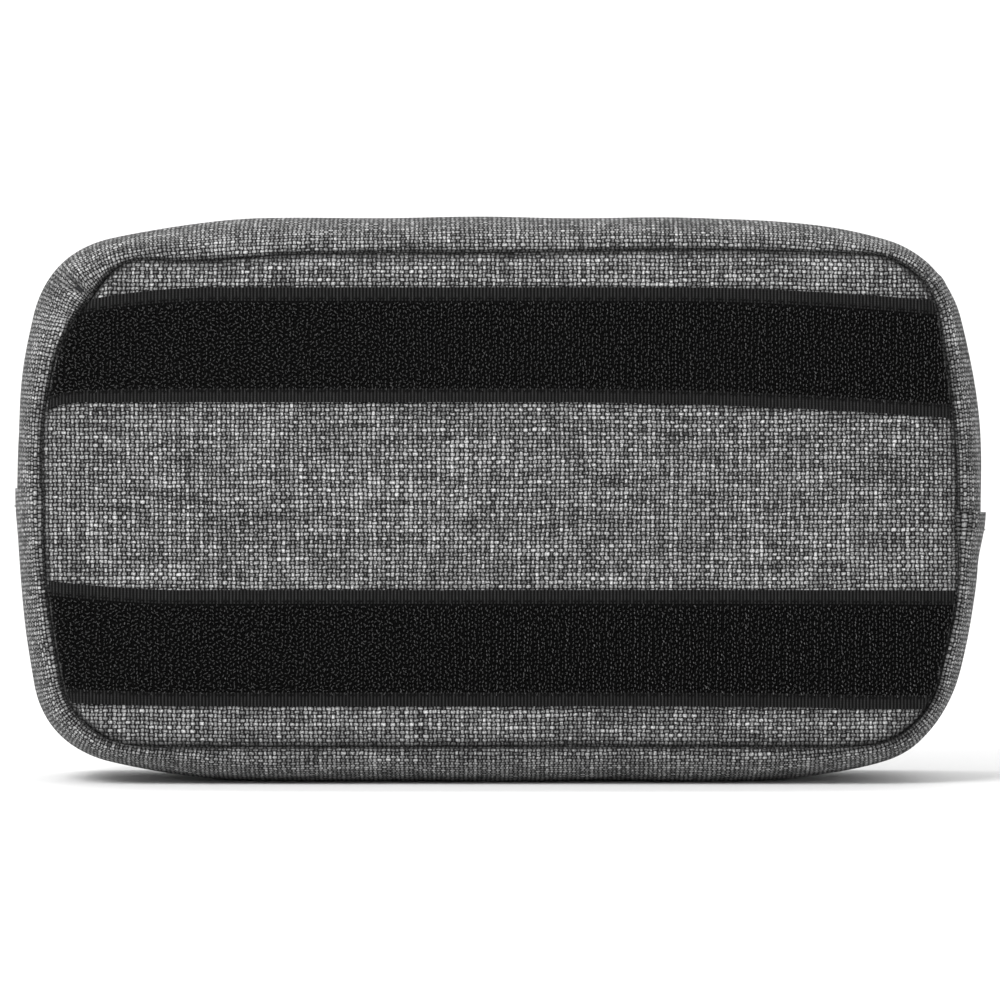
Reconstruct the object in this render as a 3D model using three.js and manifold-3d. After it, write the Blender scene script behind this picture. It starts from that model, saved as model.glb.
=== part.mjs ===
// A soft zipped pouch for cables, standing on its lower gusset.
// +X runs along its width and +Z up. The back, with two strips of hook tape, faces -Y. Millimetres.
import * as THREE from "three";
import { mergeVertices } from "three/addons/utils/BufferGeometryUtils.js";
import Module from "manifold-3d";

const wasm = await Module();
wasm.setup();

// Overall size
const pouchWidth = 212; // over the laps of the lower gusset
const pouchHeight = 123;
const pouchDepth = 62; // from the hook faces to the front panel
const gap = 0.3; // between neighbouring pieces

// The outline: a straight, a shoulder arc, a corner arc and a side arc in each quarter
const straightHalf = 52;
const shoulderRadius = 122;
const cornerRadius = 23;
const sideRadius = 190;
const arcSteps = { side: 3, corner: 5, shoulder: 3 };

// Cloth layers
const clothThickness = 1;
const liningThickness = 0.7;
const foamThickness = 3;
const lapThickness = 1; // the turned end of the lower gusset stands this far out
const lapOverlap = 3.2; // how far it covers the upper gusset
const lapBack = 4; // how far it runs down the lower gusset

// The gusset seen end on: flat in the middle, and rolling inwards to the seams
const gussetBulge = 7.2;
const crestHalf = 14;
const rollPower = 2.4; // how late the roll turns in
const rollStep = 4;

// Hook tape
const tapeHeight = 25;
const tapeThickness = 1.5;
const upperTapeCentre = 33; // above the middle of the pouch
const lowerTapeCentre = -32;

// Zip, with its chain near the front panel
const chainY = 21;
const chainHalf = 1.4;
const chainThickness = 1.3;
const zipTapeWidth = 3.3;
const zipTapeThickness = 0.6;
const sunk = 1; // how far the zip tape lies below the gusset's face

// Slider and pull tab
const slider = { length: 9, width: 6, plate: 0.8, centreX: 5, clearance: 0.25 };
const bridge = { length: 7, width: 1.4, rod: 0.7, inner: 1.6 };
const tab = { length: 20, width: 6, thickness: 0.9, bar: 1, slotLength: 4.6, slotWidth: 2.8 };

// Inside
const binding = { inner: 11, outer: 8.3, width: 2.2 };
const loops = { count: 4, pitch: 34, halfWidth: 12.5, rise: 8, thickness: 1, height: 25, tail: 8, steps: 10 };
const pocket = { width: 140, low: 6, high: 38, thickness: 0.5, hem: 6, hemThickness: 0.9 };

// Worked out from the sizes above
const halfHeight = pouchHeight / 2;
const halfWidth = pouchWidth / 2 - lapThickness;
const hookFaceY = -pouchDepth / 2;
const backY = hookFaceY + tapeThickness + gap; // outer face of the back panel
const frontY = pouchDepth / 2; // outer face of the front panel
const gussetFrontY = frontY - clothThickness;
const panelInset = gussetBulge + clothThickness + gap;
const panelDepth = clothThickness + foamThickness + liningThickness + 2 * gap;
const backTapeY = chainY - chainHalf - gap - zipTapeWidth; // where the gusset ends and the zip tape begins
const frontTapeY = chainY + chainHalf + gap + zipTapeWidth;
const big = 2 * pouchWidth;

const colours = {
  heather: { color: 0x6e6e6e, roughness: 0.9, metalness: 0 },
  lining: { color: 0x2b2b2d, roughness: 0.85, metalness: 0 },
  foam: { color: 0xd8d8d4, roughness: 0.95, metalness: 0 },
  hook: { color: 0x121213, roughness: 0.75, metalness: 0 },
  webbing: { color: 0x1b1b1c, roughness: 0.8, metalness: 0 },
  coil: { color: 0x1a1a1a, roughness: 0.45, metalness: 0 },
  metal: { color: 0x3a3b3d, roughness: 0.35, metalness: 1 },
  mesh: { color: 0x202022, roughness: 0.8, metalness: 0 },
};

const root = new THREE.Group();
const pouch = new THREE.Group(); // its origin is the middle of the pouch
pouch.position.z = halfHeight;
root.add(pouch);

function addPiece(parent, name, geometry, finish) {
  const mesh = new THREE.Mesh(geometry, new THREE.MeshStandardMaterial(colours[finish]));
  mesh.name = name;
  parent.add(mesh);
  return mesh;
}

// Joining and cutting of closed geometries
function toSolid(geometry) {
  const bare = geometry.clone();
  bare.deleteAttribute("normal");
  bare.deleteAttribute("uv");
  const merged = mergeVertices(bare, 1e-4);
  return new wasm.Manifold(
    new wasm.Mesh({
      numProp: 3,
      vertProperties: new Float32Array(merged.attributes.position.array),
      triVerts: new Uint32Array(merged.index.array),
    }),
  );
}

function toGeometry(solid) {
  const found = solid.getMesh();
  const geometry = new THREE.BufferGeometry();
  geometry.setAttribute("position", new THREE.BufferAttribute(found.vertProperties, found.numProp));
  geometry.setIndex(new THREE.BufferAttribute(found.triVerts, 1));
  geometry.computeVertexNormals();
  return geometry;
}

function joined(first, ...others) {
  return toGeometry(others.reduce((sum, other) => sum.add(toSolid(other)), toSolid(first)));
}

function common(first, second) {
  return toGeometry(toSolid(first).intersect(toSolid(second)));
}

function box(low, high) {
  const size = high.map((value, i) => value - low[i]);
  const centre = high.map((value, i) => (value + low[i]) / 2);
  return new THREE.BoxGeometry(...size).translate(...centre);
}

// A quarter of the outline as stations, from the side to the top. A station is a centre, a radius and
// an angle, so an outline further in has the same centres and smaller radii.
function quarterStations() {
  const shoulder = new THREE.Vector2(straightHalf, halfHeight - shoulderRadius);
  const side = new THREE.Vector2(halfWidth - sideRadius, 0);
  const corner = tangentCentre(shoulder, shoulderRadius - cornerRadius, side, sideRadius - cornerRadius);
  const sideEnd = corner.clone().sub(side).angle();
  const cornerEnd = corner.clone().sub(shoulder).angle();
  return [
    ...arc(side, sideRadius, 0, sideEnd, arcSteps.side),
    ...arc(corner, cornerRadius, sideEnd, cornerEnd, arcSteps.corner),
    ...arc(shoulder, shoulderRadius, cornerEnd, Math.PI / 2, arcSteps.shoulder),
    { x: shoulder.x, z: shoulder.y, radius: shoulderRadius, angle: Math.PI / 2 },
  ];
}

// The point at distance a from p and b from q that lies towards the corner of the pouch
function tangentCentre(p, a, q, b) {
  const between = q.clone().sub(p);
  const apart = between.length();
  const along = (a * a - b * b + apart * apart) / (2 * apart);
  const across = Math.sqrt(a * a - along * along);
  between.normalize();
  return new THREE.Vector2(
    p.x + between.x * along + between.y * across,
    p.y + between.y * along - between.x * across,
  );
}

function arc(centre, radius, from, to, steps) {
  return Array.from({ length: steps }, (_, i) => ({
    x: centre.x,
    z: centre.y,
    radius,
    angle: from + ((to - from) * i) / steps,
  }));
}

const quarter = quarterStations();
const mirrored = quarter.map((s) => ({ ...s, x: -s.x, angle: Math.PI - s.angle })).reverse();
const upperHalf = [...quarter, ...mirrored]; // from the right side over the top to the left side
const lowerHalf = upperHalf.map((s) => ({ ...s, z: -s.z, angle: -s.angle })).reverse(); // left to right
const fullLoop = [...upperHalf, ...lowerHalf.slice(1, -1)];

// Stations of one half, starting and ending a little way from the middle height
function halfStations(half, away) {
  const turned = Math.asin(away / sideRadius);
  const sign = half === upperHalf ? 1 : -1;
  const right = { x: halfWidth - sideRadius, z: 0, radius: sideRadius, angle: sign * turned };
  const left = { ...right, x: -right.x, angle: Math.PI - right.angle };
  const inner = half.slice(1, -1);
  return sign > 0 ? [right, ...inner, left] : [left, ...inner, right];
}

// A closed body that follows stations, with a section of [inset, y] points
function sweep(stations, section, closed = false) {
  const positions = [];
  for (const { x, z, radius, angle } of stations) {
    for (const [inset, y] of section) {
      const reach = radius - inset;
      positions.push(x + reach * Math.cos(angle), y, z + reach * Math.sin(angle));
    }
  }
  const index = [];
  const count = section.length;
  const spans = closed ? stations.length : stations.length - 1;
  for (let i = 0; i < spans; i++) {
    const here = i * count;
    const next = ((i + 1) % stations.length) * count;
    for (let j = 0; j < count; j++) {
      const k = (j + 1) % count;
      index.push(here + j, next + k, here + k, here + j, next + j, next + k);
    }
  }
  if (!closed) {
    const outline = section.map(([inset, y]) => new THREE.Vector2(inset, y));
    const last = (stations.length - 1) * count;
    for (const [a, b, c] of THREE.ShapeUtils.triangulateShape(outline, [])) {
      index.push(a, b, c, last + a, last + c, last + b);
    }
  }
  const geometry = new THREE.BufferGeometry();
  geometry.setAttribute("position", new THREE.Float32BufferAttribute(positions, 3));
  geometry.setIndex(index);
  geometry.computeVertexNormals();
  return geometry;
}

// How far the gusset's face lies inside the crest at a depth y
function faceInset(y) {
  const beyond = Math.max(0, Math.abs(y) - crestHalf);
  return gussetBulge * (beyond / (gussetFrontY - crestHalf)) ** rollPower;
}

// The section of a layer of the gusset between two depths
function layerSection(from, to, below, thickness) {
  const turns = [0, 1, 2, 3].map((i) => crestHalf + i * rollStep);
  const between = [...turns.map((y) => -y).reverse(), ...turns].filter((y) => y > from + 1 && y < to - 1);
  const kept = [from, ...between, to];
  const outer = kept.map((y) => [faceInset(y) + below, y]);
  const inner = kept.map((y) => [faceInset(y) + below + thickness, y]);
  return [...inner, ...outer.reverse()];
}

// A flat layer in the outline's shape, between two depths
function flatLayer(inset, fromY, toY) {
  const points = fullLoop.map(
    ({ x, z, radius, angle }) =>
      new THREE.Vector2(x + (radius - inset) * Math.cos(angle), z + (radius - inset) * Math.sin(angle)),
  );
  const geometry = new THREE.ExtrudeGeometry(new THREE.Shape(points), {
    depth: toY - fromY,
    bevelEnabled: false,
  });
  return geometry.rotateX(Math.PI / 2).translate(0, toY, 0);
}

// The layers of a panel from its outer face inwards: cloth, foam and lining
function panelLayers(outerY, inwards) {
  const layers = [
    ["outer", clothThickness, "heather"],
    ["foam", foamThickness, "foam"],
    ["lining", liningThickness, "lining"],
  ];
  let y = outerY;
  return layers.map(([part, thickness, finish]) => {
    const end = y + inwards * thickness;
    const geometry = flatLayer(panelInset, Math.min(y, end), Math.max(y, end));
    y = end + inwards * gap;
    return { part, geometry, finish };
  });
}

function addBackPanel() {
  for (const { part, geometry, finish } of panelLayers(backY, 1)) {
    addPiece(pouch, `back_panel_${part}`, geometry, finish);
  }
}

// The front panel folds across its middle, so each layer is two pieces with a gap at the fold
function addFrontPanel() {
  const above = box([-big, -big, gap / 2], [big, big, big]);
  const below = box([-big, -big, -big], [big, big, -gap / 2]);
  for (const { part, geometry, finish } of panelLayers(frontY, -1)) {
    addPiece(pouch, `front_panel_lower_${part}`, common(geometry, below), finish);
    addPiece(pouch, `front_panel_upper_${part}`, common(geometry, above), finish);
  }
}

function addHookStrip(name, centreZ) {
  const layer = flatLayer(panelInset + gap, hookFaceY, hookFaceY + tapeThickness);
  const strip = box([-big, -big, centreZ - tapeHeight / 2], [big, big, centreZ + tapeHeight / 2]);
  addPiece(pouch, name, common(layer, strip), "hook");
}

// The lower gusset runs the full depth. Each end is turned and laps over the end of the upper gusset.
function addLowerGusset() {
  const body = sweep(halfStations(lowerHalf, gap / 2), layerSection(backY, gussetFrontY, 0, clothThickness));
  const laps = [1, -1].map((side) => lapGeometry(side));
  addPiece(pouch, "lower_gusset_outer", joined(body, ...laps), "heather");
  const section = layerSection(backY + panelDepth, gussetFrontY - panelDepth, clothThickness + gap, liningThickness);
  addPiece(pouch, "lower_gusset_lining", sweep(halfStations(lowerHalf, gap / 2), section), "lining");
}

function lapGeometry(side) {
  const over = lapStations(side, -gap / 2, lapOverlap);
  const down = lapStations(side, -lapBack, -gap / 2);
  const cover = sweep(over, layerSection(backY, backTapeY, -gap - lapThickness + gap, lapThickness - gap));
  const root = sweep(down, layerSection(backY, backTapeY, -lapThickness, lapThickness + clothThickness / 2));
  return joined(cover, root);
}

// Two stations on a side arc, at two heights from the middle
function lapStations(side, low, high) {
  const heights = side > 0 ? [low, high] : [high, low];
  return heights.map((height) => {
    const turned = Math.asin(height / sideRadius);
    const angle = side > 0 ? turned : Math.PI - turned;
    return { x: side * (halfWidth - sideRadius), z: 0, radius: sideRadius, angle };
  });
}

// The upper gusset runs from the back seam to the zip
function addUpperGusset() {
  const stations = halfStations(upperHalf, gap / 2);
  addPiece(
    pouch,
    "upper_gusset_outer",
    sweep(stations, layerSection(backY, backTapeY - gap, 0, clothThickness)),
    "heather",
  );
  addPiece(
    pouch,
    "upper_gusset_lining",
    sweep(stations, layerSection(backY + panelDepth, backTapeY - gap, clothThickness + gap, liningThickness)),
    "lining",
  );
  addPiece(
    pouch,
    "front_gusset_strip",
    sweep(stations, layerSection(frontTapeY + gap, gussetFrontY, 0, clothThickness)),
    "heather",
  );
}

// Each half of the zip is a tape and a coil
function addZip() {
  const stations = halfStations(upperHalf, gap / 2);
  const halves = [
    { name: "back", tape: [backTapeY, backTapeY + zipTapeWidth], coil: [chainY - chainHalf, chainY - gap / 2] },
    { name: "front", tape: [frontTapeY - zipTapeWidth, frontTapeY], coil: [chainY + gap / 2, chainY + chainHalf] },
  ];
  for (const { name, tape, coil } of halves) {
    addPiece(
      pouch,
      `zipper_tape_${name}`,
      sweep(stations, layerSection(...tape, sunk, zipTapeThickness)),
      "webbing",
    );
    addPiece(
      pouch,
      `zipper_coil_${name}`,
      sweep(stations, layerSection(...coil, sunk / 2, chainThickness)),
      "coil",
    );
  }
}

// A slider rides on the top stretch of the zip: a plate with a bridge, and a tab whose end bar lies
// under the bridge. The group's origin is on the bar's axis. The tab points away from the middle.
function addSlider(side) {
  const name = side < 0 ? "left" : "right";
  const plateLow = halfHeight - faceInset(chainY - slider.width / 2) - sunk + slider.clearance;
  const plateTop = plateLow + slider.plate;
  const pivotZ = plateTop + bridge.inner / 2;
  const group = new THREE.Group();
  group.position.set(side * slider.centreX, chainY, pivotZ);
  pouch.add(group);
  addPiece(group, `zipper_slider_${name}`, sliderGeometry(side, plateLow - pivotZ, plateTop - pivotZ), "metal");
  addPiece(group, `pull_tab_${name}`, tabGeometry(side), "metal");
}

// The plate is wide at the nose, where the tapes part, and narrow at the tail
function sliderGeometry(side, low, top) {
  const half = slider.length / 2;
  const wide = slider.width / 2;
  const narrow = wide * 0.72;
  const nose = -side * half;
  const outline = new THREE.Shape();
  outline.moveTo(-nose, -narrow);
  outline.lineTo(-nose, narrow);
  outline.lineTo(nose * 0.1, narrow);
  outline.lineTo(nose * 0.55, wide);
  outline.lineTo(nose, wide * 0.8);
  outline.lineTo(nose, -wide * 0.8);
  outline.lineTo(nose * 0.55, -wide);
  outline.lineTo(nose * 0.1, -narrow);
  const plate = new THREE.ExtrudeGeometry(outline, { depth: top - low, bevelEnabled: false }).translate(0, 0, low);
  return joined(plate, bridgeGeometry(top));
}

// An arch with sloped shoulders, sunk a little into the plate
function bridgeGeometry(top) {
  const half = bridge.length / 2;
  const inner = half - bridge.rod;
  const ceiling = top + bridge.inner;
  const sunkZ = top - slider.plate / 2;
  const shoulder = 0.6;
  const arch = new THREE.Shape();
  arch.moveTo(-half, sunkZ);
  arch.lineTo(-half, ceiling + bridge.rod - shoulder);
  arch.lineTo(-half + shoulder, ceiling + bridge.rod);
  arch.lineTo(half - shoulder, ceiling + bridge.rod);
  arch.lineTo(half, ceiling + bridge.rod - shoulder);
  arch.lineTo(half, sunkZ);
  arch.lineTo(inner, sunkZ);
  arch.lineTo(inner, ceiling);
  arch.lineTo(-inner, ceiling);
  arch.lineTo(-inner, sunkZ);
  const geometry = new THREE.ExtrudeGeometry(arch, { depth: bridge.width, bevelEnabled: false });
  return geometry.rotateX(Math.PI / 2).translate(0, bridge.width / 2, 0);
}

// A flat tab with a round free end and a slot behind its end bar
function tabGeometry(side) {
  const wide = tab.width / 2;
  const start = -tab.bar / 2;
  const slotStart = tab.bar / 2;
  const slotEnd = slotStart + tab.slotLength;
  const outline = new THREE.Shape();
  outline.moveTo(start, -wide * 0.8);
  outline.lineTo(tab.length - wide, -wide);
  outline.absarc(tab.length - wide, 0, wide, -Math.PI / 2, Math.PI / 2);
  outline.lineTo(start, wide * 0.8);
  const slot = new THREE.Path();
  slot.moveTo(slotStart, -tab.slotWidth / 2);
  slot.lineTo(slotStart, tab.slotWidth / 2);
  slot.lineTo(slotEnd, tab.slotWidth / 2);
  slot.lineTo(slotEnd, -tab.slotWidth / 2);
  outline.holes.push(slot);
  const settings = { depth: tab.thickness, bevelEnabled: false, curveSegments: 4 };
  const geometry = new THREE.ExtrudeGeometry(outline, settings).translate(0, 0, -tab.thickness / 2);
  return side < 0 ? geometry.rotateZ(Math.PI) : geometry;
}

// Binding tape over the raw edges of the seams, inside the pouch
function addBindings() {
  const section = (from) => [
    [binding.inner, from],
    [binding.inner, from + binding.width],
    [binding.outer, from + binding.width],
    [binding.outer, from],
  ];
  const backFrom = backY + panelDepth + gap;
  const frontFrom = frontY - panelDepth - gap - binding.width;
  addPiece(pouch, "back_seam_binding", sweep(fullLoop, section(backFrom), true), "webbing");
  const lower = sweep(halfStations(lowerHalf, gap / 2), section(frontFrom));
  const upper = sweep(halfStations(upperHalf, gap / 2), section(frontFrom));
  addPiece(pouch, "front_seam_binding_lower", lower, "webbing");
  addPiece(pouch, "front_seam_binding_upper", upper, "webbing");
}

// One elastic band sewn to the back lining between its loops, each loop a smooth hump
function addCableLoops() {
  const floorY = backY + panelDepth + gap;
  const half = ((loops.count - 1) / 2) * loops.pitch + loops.halfWidth;
  const rise = (x) => {
    const nearest = Math.round(x / loops.pitch - (loops.count - 1) / 2) + (loops.count - 1) / 2;
    const limit = (loops.count - 1) / 2;
    const centre = THREE.MathUtils.clamp(nearest, -limit, limit) * loops.pitch;
    const away = Math.min(1, Math.abs(x - centre) / loops.halfWidth);
    return loops.rise * Math.cos((away * Math.PI) / 2) ** 2;
  };
  const stops = [-half - loops.tail];
  for (let i = 0; i < loops.count; i++) {
    const centre = (i - (loops.count - 1) / 2) * loops.pitch;
    for (let k = 0; k <= loops.steps; k++) {
      stops.push(centre + loops.halfWidth * ((2 * k) / loops.steps - 1));
    }
  }
  stops.push(half + loops.tail);
  const inner = stops.map((x) => new THREE.Vector2(x, rise(x)));
  const outer = stops.map((x) => new THREE.Vector2(x, rise(x) + loops.thickness)).reverse();
  const band = new THREE.ExtrudeGeometry(new THREE.Shape([...inner, ...outer]), {
    depth: loops.height,
    bevelEnabled: false,
  });
  addPiece(pouch, "elastic_loop_band", band.translate(0, floorY, -loops.height / 2), "webbing");
}

// A mesh pocket on the inside of the folding half of the front panel
function addMeshPocket() {
  const wallY = frontY - panelDepth - gap;
  const half = pocket.width / 2;
  const net = box([-half, wallY - pocket.thickness, pocket.low], [half, wallY, pocket.high]);
  const hem = box(
    [-half, wallY - pocket.hemThickness, pocket.high + gap],
    [half, wallY, pocket.high + gap + pocket.hem],
  );
  addPiece(pouch, "mesh_pocket", net, "mesh");
  addPiece(pouch, "mesh_pocket_hem", hem, "webbing");
}

addBackPanel();
addHookStrip("hook_strip_upper", upperTapeCentre);
addHookStrip("hook_strip_lower", lowerTapeCentre);
addLowerGusset();
addUpperGusset();
addFrontPanel();
addZip();
addSlider(-1);
addSlider(1);
addBindings();
addCableLoops();
addMeshPocket();

export default root;
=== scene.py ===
import math
from functools import partial
import bmesh
import bpy
import numpy as np
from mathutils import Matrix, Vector


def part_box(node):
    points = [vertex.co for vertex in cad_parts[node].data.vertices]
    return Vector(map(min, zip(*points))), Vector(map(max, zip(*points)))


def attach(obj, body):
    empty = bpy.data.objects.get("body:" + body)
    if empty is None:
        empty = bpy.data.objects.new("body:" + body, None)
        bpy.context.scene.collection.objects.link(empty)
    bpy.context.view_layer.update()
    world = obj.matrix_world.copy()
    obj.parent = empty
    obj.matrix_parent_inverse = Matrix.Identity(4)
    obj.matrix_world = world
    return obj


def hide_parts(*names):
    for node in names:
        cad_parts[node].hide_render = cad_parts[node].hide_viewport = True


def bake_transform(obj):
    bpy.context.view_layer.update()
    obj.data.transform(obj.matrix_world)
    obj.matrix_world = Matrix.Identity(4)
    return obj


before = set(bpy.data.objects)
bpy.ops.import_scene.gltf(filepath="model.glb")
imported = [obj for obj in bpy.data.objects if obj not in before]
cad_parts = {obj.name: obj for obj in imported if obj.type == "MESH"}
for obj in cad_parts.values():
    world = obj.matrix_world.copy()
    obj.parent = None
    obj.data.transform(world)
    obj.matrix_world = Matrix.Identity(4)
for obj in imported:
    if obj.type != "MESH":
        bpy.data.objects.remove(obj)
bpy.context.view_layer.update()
mm = 0.001
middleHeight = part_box("upper_gusset_outer")[1].z / 2
centreZ = middleHeight / mm
pouchMiddle = np.array([0, 0, centreZ])


def toLinear(hexColour):
    values = [int(hexColour[i:i + 2], 16) / 255 for i in (1, 3, 5)]
    return [v / 12.92 if v <= 0.04045 else ((v + 0.055) / 1.055) ** 2.4 for v in values] + [1.0]


def addNode(tree, kind, inputs=(), take=0, **settings):
    # adds a node with its settings, links or sets its inputs, and gives back one output; a kind such as
    # Math:ADD also names the operation
    kind, _, operation = kind.partition(":")
    node = tree.nodes.new("ShaderNode" + kind)
    if operation:
        node.operation = operation
    for key, value in settings.items():
        setattr(node, key, value)
    for socket, value in (inputs.items() if isinstance(inputs, dict) else enumerate(inputs)):
        if isinstance(value, bpy.types.NodeSocket):
            tree.links.new(value, node.inputs[socket])
        else:
            node.inputs[socket].default_value = value
    return node.outputs[take]


def newMaterial(name, **uniform):
    material = bpy.data.materials.new(name)
    material.use_nodes = True
    tree = material.node_tree
    shader = tree.nodes["Principled BSDF"]
    for socket, value in uniform.items():
        shader.inputs[socket.replace("_", " ")].default_value = value
    return material, partial(addNode, tree), shader


def feed(shader, socket, value):
    shader.id_data.links.new(value, shader.inputs[socket])


def mixColours(put, share, low, high):
    return put("Mix", {0: share, 6: low, 7: high}, 2, data_type="RGBA")


def smooth(t):
    t = np.clip(t, 0, 1)
    return t * t * (3 - 2 * t)


def unit(vectors):
    return vectors / np.maximum(np.linalg.norm(vectors, axis=-1, keepdims=True), 1e-9)


def ripple(points, size, seed, count=9):
    # a smooth field of about one unit, with waves about this many millimetres long
    draw = np.random.default_rng(seed)
    found = np.zeros(points.shape[:-1])
    for _ in range(count):
        way = draw.normal(size=3)
        way *= 2 * math.pi / (size * draw.uniform(0.7, 1.5) * np.linalg.norm(way))
        found += np.sin(points @ way + draw.uniform(0, 2 * math.pi))
    return found / math.sqrt(count)


def bell(away, reach):
    return np.exp(-((away / reach) ** 2))


def lengthAlong(line):
    return np.concatenate([[0], np.cumsum(np.linalg.norm(np.diff(line, axis=0), axis=1))])


def pointsAt(at, along, line):
    # a line's points at the given lengths along it
    return np.stack([np.interp(at, along, line[:, k]) for k in range(line.shape[1])], -1)


def resample(line, count):
    along = lengthAlong(line)
    return pointsAt(np.linspace(0, along[-1], count), along, line)


def standing(flat, y):
    # turns points across and up from the pouch's middle into points in space, at depth y
    return np.stack([flat[..., 0], np.broadcast_to(y, flat.shape[:-1]), flat[..., 1] + centreZ], -1)


def gridFaces(rows, columns, wrap=False):
    # quads of a grid whose points run row by row; wrap joins the last row to the first
    i, j = np.meshgrid(np.arange(rows if wrap else rows - 1), np.arange(columns - 1), indexing="ij")
    a = i * columns + j
    b = ((i + 1) % rows) * columns + j
    return np.stack([a, b, b + 1, a + 1], -1).reshape(-1, 4).tolist()


def gridNormals(grid, wrap=False):
    alongRows = np.roll(grid, -1, 0) - np.roll(grid, 1, 0) if wrap else np.gradient(grid, axis=0)
    return unit(np.cross(alongRows, np.gradient(grid, axis=1)))


def shellPart(grid, thickness, material, cloth, wrap=False, away=pouchMiddle, pinch=None):
    # a closed sheet: the grid is the face turned away from the given point, a second face lies inside it
    normals = gridNormals(grid, wrap)
    inside = -np.sign((normals * (grid - away)).sum())
    rows, columns = grid.shape[:2]
    count = rows * columns
    faces = gridFaces(rows, columns, wrap)
    faces += [[v + count for v in f[::-1]] for f in faces]
    edges = [list(range(0, count, columns)), list(range(columns - 1, count, columns))]
    if not wrap:
        edges += [list(range(columns)), list(range(count - columns, count))]
    for edge in edges:
        closing = edge[1:] + edge[:1] if wrap else edge[1:]
        faces += [[a, a + count, b + count, b] for a, b in zip(edge, closing)]
    points = np.concatenate([grid.reshape(-1, 3), (grid + inside * thickness * normals).reshape(-1, 3)])
    flat = cloth.reshape(-1, 3)
    part = {"points": points, "faces": faces, "cloth": np.concatenate([flat, flat]), "material": material}
    if pinch is not None:
        part["pinch"] = np.tile(pinch.ravel(), 2)
    return part


def filamentPart(paths, sideways, radius, sides, material):
    # many round threads at once: paths is threads x steps x 3, each bending in a plane across sideways
    count, steps = paths.shape[:2]
    tangents = unit(np.gradient(paths, axis=1))
    level = np.broadcast_to(unit(sideways)[:, None], tangents.shape)
    upright = np.cross(tangents, level)
    turn = np.arange(sides) * 2 * math.pi / sides
    rings = paths[:, :, None] + radius * (np.cos(turn)[:, None] * level[:, :, None]
                                          + np.sin(turn)[:, None] * upright[:, :, None])
    one = []
    for step in range(steps - 1):
        for k in range(sides):
            a, b = step * sides + k, step * sides + (k + 1) % sides
            one.append([a, b, b + sides, a + sides])
    starts = np.arange(count) * steps * sides
    faces = (np.array(one)[None] + starts[:, None, None]).reshape(-1, 4).tolist()
    faces += [[s + k for k in range(sides)][::-1] for s in starts]
    faces += [[s + (steps - 1) * sides + k for k in range(sides)] for s in starts]
    points = rings.reshape(-1, 3)
    return {"points": points, "faces": faces, "cloth": points, "material": material}


def stitchPart(run, normals, spec, material):
    # a row of stitches along a line of points, each dipping into the cloth at both ends
    along = lengthAlong(run)
    pitch = spec["pitch"]
    starts = np.arange(int(along[-1] // pitch)) * pitch + (pitch - spec["length"]) / 2
    at = starts[:, None] + np.linspace(0, 1, 5) * spec["length"]
    place = pointsAt(at, along, run)
    up = unit(pointsAt(at, along, np.broadcast_to(normals, run.shape)))
    place += up * (spec["radius"] * np.array([-1.6, 0.5, 0.9, 0.5, -1.6]))[None, :, None]
    across = np.cross(place[:, -1] - place[:, 0], up[:, 2])
    return filamentPart(place, across, spec["radius"], 6, material)


def buildPiece(name, parts, closed=True):
    materials = list({id(p["material"]): p["material"] for p in parts}.values())
    points, faces, cloth, pinch, used = [], [], [], [], []
    for part in parts:
        start = sum(len(p) for p in points)
        points.append(np.asarray(part["points"]))
        cloth.append(np.asarray(part["cloth"]))
        pinch.append(part.get("pinch", np.zeros(len(points[-1]))))
        faces += [[v + start for v in f] for f in part["faces"]] if start else part["faces"]
        used += [materials.index(part["material"])] * len(part["faces"])
    mesh = bpy.data.meshes.new(name)
    mesh.from_pydata((np.concatenate(points) * mm).tolist(), [], faces)
    for material in materials:
        mesh.materials.append(material)
    given = (("cloth", "FLOAT_VECTOR", "vector", cloth), ("pinch", "FLOAT", "value", pinch))
    for title, kind, field, values in given:
        attribute = mesh.attributes.new(title, kind, "POINT")
        attribute.data.foreach_set(field, np.concatenate(values).astype(np.float32).ravel())
    mesh.polygons.foreach_set("material_index", np.array(used, np.int32))
    mesh.polygons.foreach_set("use_smooth", np.ones(len(faces), bool))
    if closed:
        # turns every face outwards
        held = bmesh.new()
        held.from_mesh(mesh)
        bmesh.ops.recalc_face_normals(held, faces=held.faces)
        held.to_mesh(mesh)
        held.free()
    mesh.set_sharp_from_angle(angle=math.radians(50))
    mesh.update()
    piece = bpy.data.objects.new(name, mesh)
    bpy.context.scene.collection.objects.link(piece)
    return piece


# metres; across is what the camera sees at the pouch's middle
camera = {"distance": 0.978, "across": 0.2212, "sensor": 0.036, "farthest": 20}
sweep = {"front": -2.6, "back": 1.6, "bend": 0.5, "halfWidth": 3.0, "height": 2.4}
skyLight = 0.7
lamps = {
    "key": {"at": (-0.45, -0.75, 0.75), "towards": (0, 0, 0.06), "size": (0.5, 0.5), "power": 9.5},
    "fill": {"at": (1.3, -0.9, 0.5), "towards": (0, 0, 0.06), "size": (1.0, 1.0), "power": 3},
    "wallWash": {"at": (0, 0.3, 1.9), "towards": (0, 2.1, 0.5), "size": (2.4, 0.5), "power": 28},
}


def addCamera():
    data = bpy.data.cameras.new("camera")
    data.sensor_width = camera["sensor"] / mm
    data.lens = data.sensor_width * camera["distance"] / camera["across"]
    data.clip_end = camera["farthest"]
    held = bpy.data.objects.new("camera", data)
    bpy.context.scene.collection.objects.link(held)
    held.location = (0, -camera["distance"], middleHeight)
    held.rotation_euler = (math.pi / 2, 0, 0)
    bpy.context.scene.camera = held


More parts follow.
